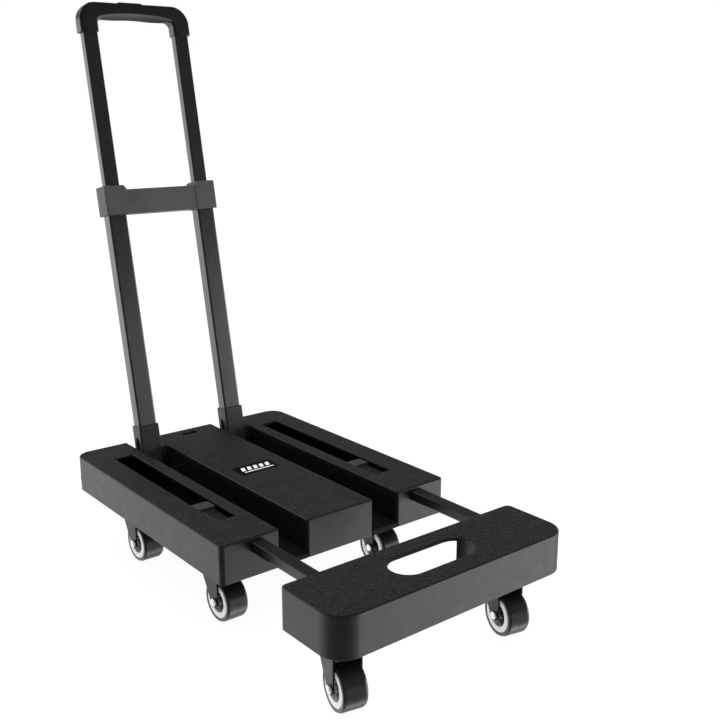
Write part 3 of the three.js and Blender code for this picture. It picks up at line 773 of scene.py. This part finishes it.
SOCKET = {"width": 36, "radius": 15, "top": 62, "pocket": 20, "corner": 3.2}
NOTCH = {"width": 10, "bottom": 11, "top": 42, "depth": 1.9, "corner": 1.5}
OUTER_TUBE = {"width": 32, "depth": 23, "wall": 1.6, "bottom": 20.3, "top": 455}
INNER_TUBE = {"width": 25, "depth": 15.5, "wall": 1.3, "bottom": 375, "top": 741}


def tube_space(shape, room, x):
    """The corners of a space round a tube, wider and deeper than the tube by room."""
    return centred(shape["width"] + room, shape["depth"] + room, x)


def make_socket(side, sign):
    """The handle's foot: round about the hinge pin, open on top for the outer tube."""
    x = sign * TUBE_X
    half = SOCKET["width"] / 2
    radius = SOCKET["radius"]
    upright = prism(
        centred(SOCKET["width"], 2 * radius, x), [SOCKET["corner"]] * 4,
        -radius - 1, SOCKET["top"], (0, 0.8))
    side_view = rectangle(-radius, -radius, radius, SOCKET["top"] + 5)
    radii = [radius - SHARP, radius - SHARP, 0, 0]
    foot = prism(side_view, radii, x - half - 1, x + half + 1, matrix=THROUGH_X, steps=14)
    body = overlap(upright, foot)
    bore = round_bar(HINGE["bore"], x - half - 1, x + half + 1, SHARP, THROUGH_X, 32)
    pocket = prism(
        tube_space(OUTER_TUBE, 2 * GAP, x), [TUBE_CORNER] * 4, SOCKET["pocket"], SOCKET["top"] + 1)
    notches = []
    for face in (-1, 1):
        outer = x + face * (half + 1)
        inner = x + face * (half - NOTCH["depth"])
        x0, x1 = sorted((outer, inner))
        shape = rectangle(-NOTCH["width"] / 2, NOTCH["bottom"], NOTCH["width"] / 2, NOTCH["top"])
        notches.append(prism(shape, [NOTCH["corner"]] * 4, x0, x1, matrix=THROUGH_X, steps=4))
    bm = cut(body, bore, pocket, *notches)
    name = f"{side}_handle_socket"
    piece(bm, f"{name}_detailed", "handle", [FINISH["socket"]], [name], HANDLE)


def make_tubes(side, sign):
    for name, body, shape, corner in (
            (f"{side}_outer_tube", "handle", OUTER_TUBE, TUBE_CORNER),
            (f"{side}_inner_tube", "upper_handle", INNER_TUBE, INNER_TUBE_CORNER)):
        bm = tube(
            shape["width"], shape["depth"], shape["wall"], shape["bottom"], shape["top"], corner)
        moved(bm, Matrix.Translation((sign * TUBE_X, 0, 0)))
        piece(bm, f"{name}_detailed", body, [FINISH["tube"]], [name], HANDLE)


JOINT = {"collar": 40, "depth": 36, "bottom": 415, "top": 463, "bar_top": 456, "bar_inset": 2,
         "corner": 3.2, "slope": 7.5}


def joint_body():
    """Both halves of the cross joint as one solid: the collars, and the bar between them."""
    collars = []
    half = JOINT["collar"] / 2
    for _, sign in SIDES:
        x = sign * TUBE_X
        upright = prism(
            centred(JOINT["collar"], JOINT["depth"], x), [JOINT["corner"]] * 4,
            JOINT["bottom"], JOINT["top"], (0.8, 1.0))
        shoulder = x - sign * half
        slope = [
            (shoulder - sign, JOINT["bar_top"] - 2),
            (shoulder + sign * JOINT["slope"], JOINT["top"] + 1),
            (shoulder - sign, JOINT["top"] + 1)]
        if sign < 0:
            slope.reverse()
        wedge = prism(slope, [0] * 3, -JOINT["depth"], JOINT["depth"], matrix=THROUGH_Y, steps=1)
        collars.append(cut(upright, wedge))
    bar_depth = JOINT["depth"] - 2 * JOINT["bar_inset"]
    front_view = rectangle(-TUBE_X, JOINT["bottom"] + 0.5, TUBE_X, JOINT["bar_top"])
    bar = prism(front_view, [1.5] * 4, -bar_depth / 2, bar_depth / 2, (2, 2), THROUGH_Y)
    return merge(bar, *collars)


def joint_half(face):
    """The front (-1) or rear (1) half of the cross joint, with the tubes' spaces cut out."""
    body = joint_body()
    reach = 2 * TUBE_X
    low, high = JOINT["bottom"] - 9, JOINT["top"] + 9
    y0, y1 = sorted((face * GAP / 2, face * JOINT["depth"]))
    half = prism(rectangle(-reach, y0, reach, y1), [0] * 4, low, high, steps=1)
    pockets = []
    for _, sign in SIDES:
        x = sign * TUBE_X
        pockets.append(prism(
            tube_space(OUTER_TUBE, 2 * GAP, x), [TUBE_CORNER] * 4,
            JOINT["bottom"] - 1, OUTER_TUBE["top"] + GAP))
        pockets.append(prism(
            tube_space(INNER_TUBE, LOOSE, x), [2.6] * 4, OUTER_TUBE["top"], JOINT["top"] + 1))
    return cut(overlap(body, half), *pockets)


def make_joint():
    for node, face in (("joint_front_cover", -1), ("joint_rear_cover", 1)):
        bm = joint_half(face)
        piece(bm, f"{node}_detailed", "handle", [FINISH["joint"]], [node], HANDLE)


GRIP = {"width": 199, "depth": 23, "arm": 31, "bottom": 713, "top": 760.5, "bar": 25,
        "outer": 30, "inner": 10, "end": 5, "edge": 4.5}
SCOOP = {"reach": 26, "height": 9, "y": -13.5}
BUTTON = {"x": -5, "width": 43, "depth": 13, "bottom": 751, "top": 763, "floor": 744, "corner": 3}


def finger_scoop(half_length, under):
    """The shallow hollow that arches the grip's underside, deepest at its front face."""
    scoop = bmesh.new()
    bmesh.ops.create_uvsphere(scoop, u_segments=96, v_segments=48, radius=1)
    size = Matrix.Diagonal((half_length, SCOOP["reach"], SCOOP["height"], 1))
    return moved(scoop, Matrix.Translation((0, SCOOP["y"], under - 1)) @ size)


def make_grip():
    """The bow with its finger hollow, and the release button in its top."""
    half = GRIP["width"] / 2
    inner = half - GRIP["arm"]
    under = GRIP["top"] - GRIP["bar"]
    low = GRIP["bottom"]
    start = low - 2 * GRIP["edge"]
    corners = [
        (-half, start), (-inner, start), (-inner, under), (inner, under), (inner, start),
        (half, start), (half, GRIP["top"]), (-half, GRIP["top"])]
    end = [GRIP["end"]] * 2
    radii = [*end, GRIP["inner"], GRIP["inner"], *end, GRIP["outer"], GRIP["outer"]]
    depth = GRIP["depth"] / 2
    bow = prism(corners, radii, -depth, depth, (GRIP["edge"], GRIP["edge"]), THROUGH_Y, 12)
    sockets = []
    for _, sign in SIDES:
        sockets.append(prism(
            tube_space(INNER_TUBE, 2 * GAP, sign * TUBE_X), [2.5] * 4,
            start - 2, INNER_TUBE["top"] + GAP))
    pocket = prism(
        tube_space(BUTTON, LOOSE, BUTTON["x"]), [3.4] * 4, BUTTON["floor"], GRIP["top"] + 5)
    trim = prism(centred(3 * half, 6 * depth), [0] * 4, start - 1, low, steps=1)
    bm = cut(bow, trim, pocket, finger_scoop(inner - 1, under), *sockets)
    node = "handle_grip"
    piece(bm, f"{node}_detailed", "upper_handle", [FINISH["grip"]], [node], HANDLE)

    button = prism(
        centred(BUTTON["width"], BUTTON["depth"], BUTTON["x"]), [BUTTON["corner"]] * 4,
        BUTTON["bottom"], BUTTON["top"], (0.5, 1.6))
    node = "grip_button"
    piece(button, f"{node}_detailed", node, [FINISH["button"]], [node], HANDLE)


# ---- casters

MOUNT = {"width": 60, "length": 52, "corner": 6, "bottom": 94.2, "top": 98.7}
BOLT = {"x": 23, "y": 19, "radius": 4, "height": 2.4}
FORK = {"arm_inner": 17.8, "arm_outer": 20.3, "crown_bottom": 72, "crown_top": 82,
        "front": -27, "rear": 16, "tip": 9, "sweep": 155}
RACEWAY = {"radius": 22, "top": 93.9, "groove": (88.6, 89.8), "depth": 1.2}
KINGPIN = {"radius": 6, "bore": 6.3, "head": 9, "head_bottom": 67.5, "head_top": 71.7}
AXLE = {"radius": 3.9, "head": 6, "head_start": 20.6, "head_end": 24}
RING = {"outer": 25, "inner": 16.8, "half": 16.5}
HUB = {"half": 12, "radius": 8, "web": 6, "web_start": 9.5, "ribs": 6, "rib_half": 9,
       "rib_start": 6.5, "rib_side": 0.9, "rib_turn": 15}
TYRE = {"radius": 31, "half": 16.8, "tread": 13.5, "shoulder": 29.5, "line": 0.3}


def hexagon(radius, x=0.0, y=0.0):
    """A hexagon, anticlockwise, whose corners lie on a circle of the given radius."""
    angles = [math.radians(60 * corner) for corner in range(6)]
    return [(x + radius * math.cos(angle), y + radius * math.sin(angle)) for angle in angles]


def mount_mesh():
    """The plate with its four bolts, and the headed pin that the fork turns on."""
    bottom, top = MOUNT["bottom"], MOUNT["top"]
    corners = centred(MOUNT["width"], MOUNT["length"])
    plate = prism(corners, [MOUNT["corner"]] * 4, bottom, top, (0.6, 0.6))
    bolts = []
    for x in (-BOLT["x"], BOLT["x"]):
        for y in (-BOLT["y"], BOLT["y"]):
            head = hexagon(BOLT["radius"], x, y)
            bolts.append(prism(head, [0.4] * 6, bottom - BOLT["height"], bottom + 1, (0.5, 0)))
    pin = round_bar(KINGPIN["radius"], KINGPIN["head_top"] - 1, bottom + 1, 0.1)
    head = round_bar(KINGPIN["head"], KINGPIN["head_bottom"], KINGPIN["head_top"], 1.2)
    return merge(plate, pin, head, *bolts)


def fork_side_view():
    """The arm's outline in (Y, Z): upright in front, round at the tip, slanting back up."""
    points = [(FORK["front"], FORK["crown_top"]), (FORK["front"], CASTER_AXLE_Z)]
    tip = FORK["tip"]
    centre = FORK["front"] + tip
    steps = 16
    for step in range(1, steps + 1):
        angle = math.pi + math.radians(FORK["sweep"]) * step / steps
        points.append((centre + tip * math.cos(angle), CASTER_AXLE_Z + tip * math.sin(angle)))
    points += [(FORK["rear"], FORK["crown_bottom"]), (FORK["rear"], FORK["crown_top"])]
    return points


def at_axle(bm):
    return moved(bm, Matrix.Translation((0, CASTER_AXLE_Y, CASTER_AXLE_Z)))


def fork_mesh():
    """A bent saddle cut to the arms' outline, under the raceway's round housing."""
    outer, inner = FORK["arm_outer"], FORK["arm_inner"]
    bottom, top = FORK["crown_bottom"], FORK["crown_top"]
    low = CASTER_AXLE_Z - FORK["tip"] - 3
    saddle = [
        (-outer, low), (-inner, low), (-inner, bottom), (inner, bottom),
        (inner, low), (outer, low), (outer, top), (-outer, top)]
    radii = [0, 0, 3, 3, 0, 0, 5, 5]
    bent = prism(saddle, radii, -FORK["rear"] - 1, -FORK["front"] + 1, matrix=THROUGH_Y)
    view = fork_side_view()
    side = prism(view, [0.05] * len(view), -outer - 1, outer + 1, matrix=THROUGH_X, steps=1)
    trimmed = overlap(bent, side)
    radius, depth = RACEWAY["radius"], RACEWAY["depth"]
    raceway = round_bar(radius, top - 1, RACEWAY["top"], 1.2)
    z0, z1 = RACEWAY["groove"]
    section = [(z0, radius - depth), (z0, radius + 1), (z1, radius + 1), (z1, radius - depth)]
    groove = moved(turned(section, 64), Matrix.Rotation(-math.pi / 2, 4, "Y"))
    bore = round_bar(KINGPIN["bore"], bottom - 1, RACEWAY["top"] + 1, SHARP)
    axle_hole = at_axle(round_bar(AXLE_BORE, -outer - 1, outer + 1, SHARP, THROUGH_X))
    return cut(merge(trimmed, raceway), groove, bore, axle_hole)


def axle_mesh():
    """A bolt with a six-sided head at each end."""
    start, end = AXLE["head_start"], AXLE["head_end"]
    shaft = round_bar(AXLE["radius"], -end, end, 0.5, THROUGH_X)
    heads = []
    for low, high in ((-end + 0.4, -start), (start, end - 0.4)):
        heads.append(prism(hexagon(AXLE["head"]), [0.5] * 6, low, high, (0.4, 0.4), THROUGH_X, 4))
    return at_axle(merge(shaft, *heads))


def rounded_profile(corners, radii, steps=5):
    return [tuple(point) for point in outline(corners, radii, 0, steps)]


def ring_mesh():
    """The wheel's wide white ring, with softly rounded lips."""
    half, inner, outer = RING["half"], RING["inner"], RING["outer"]
    corners = rectangle(-half, inner, half, outer)
    return at_axle(turned(rounded_profile(corners, [1.2, 1.2, 0.6, 0.6])))


def hub_mesh():
    """The dark centre: a recessed web with ribs, and a hub round the axle."""
    rim = RING["inner"] - 0.05
    hub, radius = HUB["half"], HUB["radius"]
    web, start = HUB["web"], HUB["web_start"]
    corners = [
        (-hub, AXLE_BORE), (hub, AXLE_BORE), (hub, radius), (web, start), (web, rim),
        (-web, rim), (-web, start), (-hub, radius)]
    centre = turned(rounded_profile(corners, [0.4, 0.4, 1, 1.5, 0.2, 0.2, 1.5, 1]), 72)
    reach, side = HUB["rib_half"], HUB["rib_side"]
    outline_of_rib = rectangle(-reach, HUB["rib_start"], reach, rim)
    ribs = []
    for index in range(HUB["ribs"]):
        rib = prism(outline_of_rib, [1.5, 1.5, 0.2, 0.2], -side, side, (0.3, 0.3))
        angle = math.radians(360 / HUB["ribs"] * index + HUB["rib_turn"])
        ribs.append(moved(rib, Matrix.Rotation(angle, 4, "X")))
    return at_axle(merge(centre, *ribs))


def tyre_mesh():
    """A flat tread with bevelled shoulders and a fine parting line round its middle."""
    seat = RING["outer"] + 0.02
    half, tread, radius = TYRE["half"], TYRE["tread"], TYRE["radius"]
    shoulder, line = TYRE["shoulder"], TYRE["line"]
    corners = [
        (-half + 0.3, seat), (half - 0.3, seat), (half, shoulder), (tread, radius), (line, radius),
        (0, radius - line), (-line, radius), (-tread, radius), (-half, shoulder)]
    radii = [0.4, 0.4, 0.8, 1.6, 0.1, 0.05, 0.1, 1.6, 0.8]
    return at_axle(turned(rounded_profile(corners, radii, 4)))


def make_casters():
    """Draws each caster part once, and places a copy of it at each of the six casters."""
    shared = {
        "caster_mount": (mount_mesh(), "hinge_steel", "hinge"),
        "caster_fork": (fork_mesh(), "caster_plastic", "fork"),
        "axle": (axle_mesh(), "axle_steel", "axle"),
        "wheel_rim": (ring_mesh(), "wheel_ring", "ring"),
        "wheel_hub": (hub_mesh(), "caster_plastic", "hub"),
        "wheel_tyre": (tyre_mesh(), "tyre", "tyre"),
    }
    for part, (bm, slot, finish) in shared.items():
        model = finished_mesh(bm, part)
        for place in PLACES:
            for side, _ in SIDES:
                prefix = f"{place}_{side}"
                matrix = swivel_frame(prefix)
                body = f"{prefix}_wheel"
                if part in ("caster_fork", "axle"):
                    body = f"{prefix}_caster"
                elif part == "caster_mount":
                    body = "front_bar" if place == "front" else "deck"
                    matrix = Matrix.Translation(matrix.translation) @ Matrix.Scale(MM, 4)
                node = f"{prefix}_{'wheel_rim' if part == 'wheel_hub' else part}"
                name = f"{prefix}_{part}_detailed"
                place_mesh(model.copy(), name, body, [FINISH[finish]], [node], matrix)


# ---- CAD nodes that stay


def dress_cad_nodes():
    """Gives the CAD's own pieces that stay, all nearly hidden, the finishes of this scene."""
    kept = {"hinge_pin": "axle", "rod_guide": "base", "inner_glide": "base"}
    for side, _ in SIDES:
        for part, finish in kept.items():
            mesh = frame["nodes"][f"{side}_{part}"].data
            mesh.materials.clear()
            mesh.materials.append(FINISH[finish])


# ---- studio


CAMERA = {"place": (-0.8102, -1.2116, 0.7182), "down": 14.48, "turn": -38.9,
          "sensor": 36, "lens": 49.85}
FLOOR = {"half": 14, "z": -0.0005, "grey": 0.07, "glow": 0.96}


def make_camera():
    data = bpy.data.cameras.new("camera")
    data.sensor_width = CAMERA["sensor"]
    data.lens = CAMERA["lens"]
    data.clip_start = 0.01
    data.clip_end = 50
    camera = new_object("camera", data)
    camera.location = CAMERA["place"]
    pitch = math.radians(90 - CAMERA["down"])
    camera.rotation_euler = Euler((pitch, 0, math.radians(CAMERA["turn"])))
    bpy.context.scene.camera = camera


def make_floor():
    """A wide white table that glows, so that the cart stands on it almost without a shadow."""
    bm = bmesh.new()
    bmesh.ops.create_grid(bm, x_segments=2, y_segments=2, size=FLOOR["half"])
    mesh = finished_mesh(bm, "floor", False)
    nodes = Nodes(
        "light table", (FLOOR["grey"],) * 3, 0.9, Specular_IOR_Level=0.0,
        Emission_Color=(1, 1, 1, 1), Emission_Strength=FLOOR["glow"])
    nodes.vary_colour(nodes.noise(0.8, 2), 0.01)
    mesh.materials.append(nodes.material)
    floor = new_object("floor", mesh)
    floor.location.z = FLOOR["z"]
    floor.visible_glossy = False


def make_overhead_light():
    """A wide soft light from above. The gloss sees the studio's band of light instead of it."""
    data = bpy.data.lights.new("overhead light", "SUN")
    data.energy = 3.4
    data.angle = math.radians(95)
    light = new_object("overhead light", data)
    light.rotation_euler = Euler((math.radians(6), math.radians(8), 0))
    light.visible_glossy = False
    light.visible_camera = False


def make_world():
    """White where the camera looks past the floor, and grey light for everything matt. What the
    gloss sees is a dim room with a bright band round the horizon, stronger to the left and right
    and broken by a dark gap on the near side, and a soft box high up on the left."""
    world = bpy.data.worlds.new("studio")
    bpy.context.scene.world = world
    world.use_nodes = True
    tree = world.node_tree
    tree.nodes.clear()

    def add(kind, **settings):
        return new_node(tree, kind, **settings)

    def math_node(operation, first, second):
        node = add("ShaderNodeMath", operation=operation)
        for socket, value in zip(node.inputs, (first, second)):
            if isinstance(value, (int, float)):
                socket.default_value = value
            else:
                tree.links.new(value, socket)
        return node.outputs[0]

    def smooth(value, start, end, low, high):
        node = add("ShaderNodeMapRange", interpolation_type="SMOOTHSTEP")
        sockets = ("From Min", "From Max", "To Min", "To Max")
        for socket, number in zip(sockets, (start, end, low, high)):
            node.inputs[socket].default_value = number
        tree.links.new(value, node.inputs["Value"])
        return node.outputs["Result"]

    def towards(azimuth):
        """How far a direction points to a side, from -1 to 1, whatever its height."""
        node = add("ShaderNodeVectorMath", operation="DOT_PRODUCT")
        tree.links.new(flat.outputs["Vector"], node.inputs[0])
        angle = math.radians(azimuth)
        node.inputs[1].default_value = (math.cos(angle), math.sin(angle), 0)
        return node.outputs["Value"]

    near, right, left, soft_box = 222, 322, 129, 122
    matt_light = 0.35
    direction = add("ShaderNodeTexCoord").outputs["Generated"]
    parts = add("ShaderNodeSeparateXYZ")
    tree.links.new(direction, parts.inputs[0])
    level = add("ShaderNodeCombineXYZ")
    tree.links.new(parts.outputs["X"], level.inputs["X"])
    tree.links.new(parts.outputs["Y"], level.inputs["Y"])
    flat = add("ShaderNodeVectorMath", operation="NORMALIZE")
    tree.links.new(level.outputs["Vector"], flat.inputs[0])
    height = parts.outputs["Z"]

    # The band, in turn: its upper edge, the dark gap (which closes where the gloss looks steeply
    # down), the two brighter sides, and a rise in brightness towards the horizon.
    below = smooth(height, 0.13, 0.2, 1, 0)
    near_gap = smooth(towards(near), 0.1, 0.94, 1, 0.05)
    steep = smooth(height, -0.85, -0.5, 1, 0)
    open_side = math_node("MAXIMUM", near_gap, steep)
    right_boost = smooth(towards(right), 0.93, 1.0, 0.72, 3.4)
    left_boost = smooth(towards(left), 0.4, 0.9, 1, 1.95)
    horizon = smooth(height, -0.45, -0.08, 0.9, 1.35)
    band = math_node("MULTIPLY", math_node("MULTIPLY", below, open_side), horizon)
    band = math_node("MULTIPLY", math_node("MULTIPLY", band, right_boost), left_boost)
    box_low, box_high = smooth(height, 0.28, 0.4, 0, 1), smooth(height, 0.7, 0.9, 1, 0)
    left_high = math_node("MULTIPLY", box_low, box_high)
    left_box = math_node("MULTIPLY", left_high, smooth(towards(soft_box), 0.7, 0.95, 0, 1.3))
    room = smooth(height, -0.1, 0.15, 0.05, 0.12)
    glossy = math_node("ADD", math_node("ADD", band, left_box), room)

    paths = add("ShaderNodeLightPath")
    brightness = add("ShaderNodeMix", data_type="FLOAT")
    tree.links.new(paths.outputs["Is Glossy Ray"], brightness.inputs["Factor"])
    brightness.inputs["A"].default_value = matt_light
    tree.links.new(glossy, brightness.inputs["B"])
    seen = math_node("MAXIMUM", brightness.outputs["Result"], paths.outputs["Is Camera Ray"])
    background = add("ShaderNodeBackground")
    background.inputs["Color"].default_value = (1, 1, 1, 1)
    tree.links.new(seen, background.inputs["Strength"])
    output = add("ShaderNodeOutputWorld")
    tree.links.new(background.outputs[0], output.inputs[0])


def make_studio():
    make_camera()
    make_floor()
    make_overhead_light()
    make_world()
    bpy.context.scene.view_settings.view_transform = "Standard"


# ---- assembly

make_studio()
make_centre_cover()
make_label()
make_bar_shell()
make_bar_base()
make_deck_base()
make_joint()
make_grip()
for side, sign in SIDES:
    make_side_cover(side, sign)
    make_rod(side)
    make_hinge_base(side)
    make_socket(side, sign)
    make_tubes(side, sign)
make_casters()
dress_cad_nodes()
